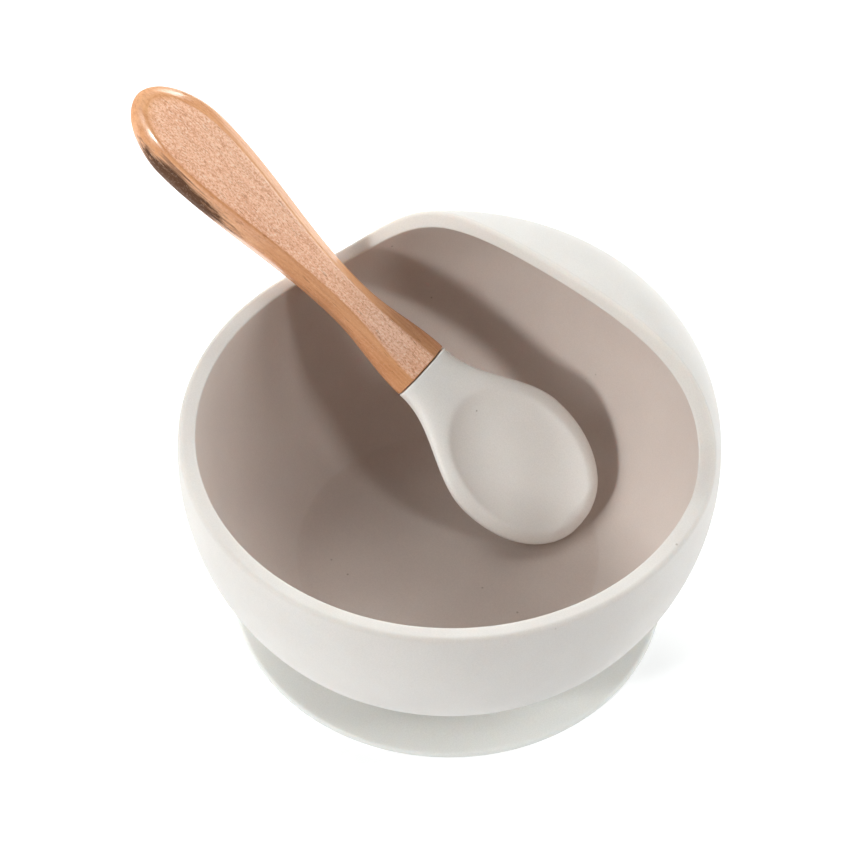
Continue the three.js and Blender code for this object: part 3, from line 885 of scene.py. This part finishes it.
# ---- floor, light and camera, in metres ----
FLOOR_HALF = 12
FLOOR_GAP = 0.00005                # keeps the floor clear of the cup's sealing face
NEAR_GLOW = 0.22
FAR_GLOW = 1.0
NEAR_GLOW_TO = 0.5
FAR_GLOW_FROM = 1.2
GLOW_REACH = 2.0

floor_mesh = bpy.data.meshes.new("floor")
floor_corners = [(-1, -1), (1, -1), (1, 1), (-1, 1)]
floor_points = [(x * FLOOR_HALF, y * FLOOR_HALF, -FLOOR_GAP) for x, y in floor_corners]
floor_mesh.from_pydata(floor_points, [], [(0, 1, 2, 3)])
floor = bpy.data.objects.new("floor", floor_mesh)
bpy.context.scene.collection.objects.link(floor)
floor_material, floor_tree, floor_shader, floor_place = new_material("floor_paper")
floor_shader.inputs["Base Color"].default_value = (0.93, 0.93, 0.94, 1)
floor_shader.inputs["Roughness"].default_value = 0.9
floor_shader.inputs["Emission Color"].default_value = (1, 1, 1, 1)
# the paper glows a little, and far from the bowl it turns into an evenly lit backdrop
floor_reach = floor_tree.nodes.new("ShaderNodeVectorMath")
floor_reach.operation = "LENGTH"
floor_tree.links.new(floor_place, floor_reach.inputs[0])
floor_share = floor_tree.nodes.new("ShaderNodeMath")
floor_share.operation = "DIVIDE"
floor_share.inputs[1].default_value = GLOW_REACH
floor_tree.links.new(floor_reach.outputs["Value"], floor_share.inputs[0])
glow = ramp(floor_tree, floor_share.outputs["Value"], [
    (NEAR_GLOW_TO / GLOW_REACH, NEAR_GLOW),
    (FAR_GLOW_FROM / GLOW_REACH, FAR_GLOW),
])
floor_tree.links.new(glow, floor_shader.inputs["Emission Strength"])
floor_mesh.materials.append(floor_material)

# the room gives almost no light of its own, and is pale where it is seen directly
world = bpy.data.worlds.new("studio")
world.use_nodes = True
world_nodes = world.node_tree.nodes
world_links = world.node_tree.links
room = world_nodes["Background"]
room.inputs["Color"].default_value = (1.0, 0.86, 0.74, 1)
room.inputs["Strength"].default_value = 0.02
backdrop = world_nodes.new("ShaderNodeBackground")
backdrop.inputs["Color"].default_value = (1, 1, 1, 1)
either = world_nodes.new("ShaderNodeMixShader")
light_path = world_nodes.new("ShaderNodeLightPath")
world_links.new(light_path.outputs["Is Camera Ray"], either.inputs[0])
world_links.new(room.outputs["Background"], either.inputs[1])
world_links.new(backdrop.outputs["Background"], either.inputs[2])
world_links.new(either.outputs["Shader"], world_nodes["World Output"].inputs["Surface"])
bpy.context.scene.world = world

CAMERA_TURN = math.radians(42.0)
CAMERA_RISE = math.radians(48.3)
CAMERA_DISTANCE = 0.4574
CAMERA_LENS = 85
CAMERA_SENSOR = 36
FRONT_WHITE = (0.97, 1.0, 0.99)
SIDE_WHITE = (0.96, 1.0, 1.0)
BACK_WHITE = (0.96, 1.0, 0.99)
front = Vector((math.sin(CAMERA_TURN), -math.cos(CAMERA_TURN), 0))
right = Vector((math.cos(CAMERA_TURN), math.sin(CAMERA_TURN), 0))
centre = Vector((-3.1, -4.9, 58.1)) * MM


def softbox(name, turn, rise, distance, size, power, colour):
    """A square area light, turned from the camera's side round to the right, in degrees."""
    around = math.radians(turn)
    above = math.radians(rise)
    level = right * math.sin(around) + front * math.cos(around)
    direction = level * math.cos(above) + Vector((0, 0, math.sin(above)))
    light = bpy.data.lights.new(name, "AREA")
    light.shape = "SQUARE"
    light.size = size
    light.energy = power
    light.color = colour
    lamp = bpy.data.objects.new(name, light)
    lamp.location = centre + direction * distance
    lamp.rotation_euler = direction.to_track_quat("Z", "Y").to_euler()
    bpy.context.scene.collection.objects.link(lamp)


softbox("key_left", turn=-52, rise=27, distance=1.1, size=0.14, power=5.9, colour=FRONT_WHITE)
softbox("key_right", turn=57, rise=40, distance=1.1, size=0.20, power=2.3, colour=FRONT_WHITE)
softbox("softbox_front_left", turn=-75, rise=34, distance=1.2, size=0.4, power=2.6, colour=FRONT_WHITE)
softbox("softbox_left", turn=-100, rise=30, distance=1.2, size=0.6, power=1.6, colour=SIDE_WHITE)
softbox("softbox_right", turn=100, rise=30, distance=1.2, size=0.6, power=8.2, colour=SIDE_WHITE)
softbox("softbox_behind", turn=180, rise=30, distance=1.2, size=0.6, power=9.2, colour=BACK_WHITE)
softbox("softbox_behind_left", turn=-135, rise=45, distance=1.2, size=0.6, power=4.0, colour=BACK_WHITE)

camera_data = bpy.data.cameras.new("camera")
camera_data.lens = CAMERA_LENS
camera_data.sensor_width = CAMERA_SENSOR
camera = bpy.data.objects.new("camera", camera_data)
bpy.context.scene.collection.objects.link(camera)
view_from = front * math.cos(CAMERA_RISE) + Vector((0, 0, math.sin(CAMERA_RISE)))
camera.location = centre + view_from * CAMERA_DISTANCE
camera.rotation_euler = view_from.to_track_quat("Z", "Y").to_euler()
bpy.context.scene.camera = camera
bpy.context.scene.view_settings.view_transform = "Standard"
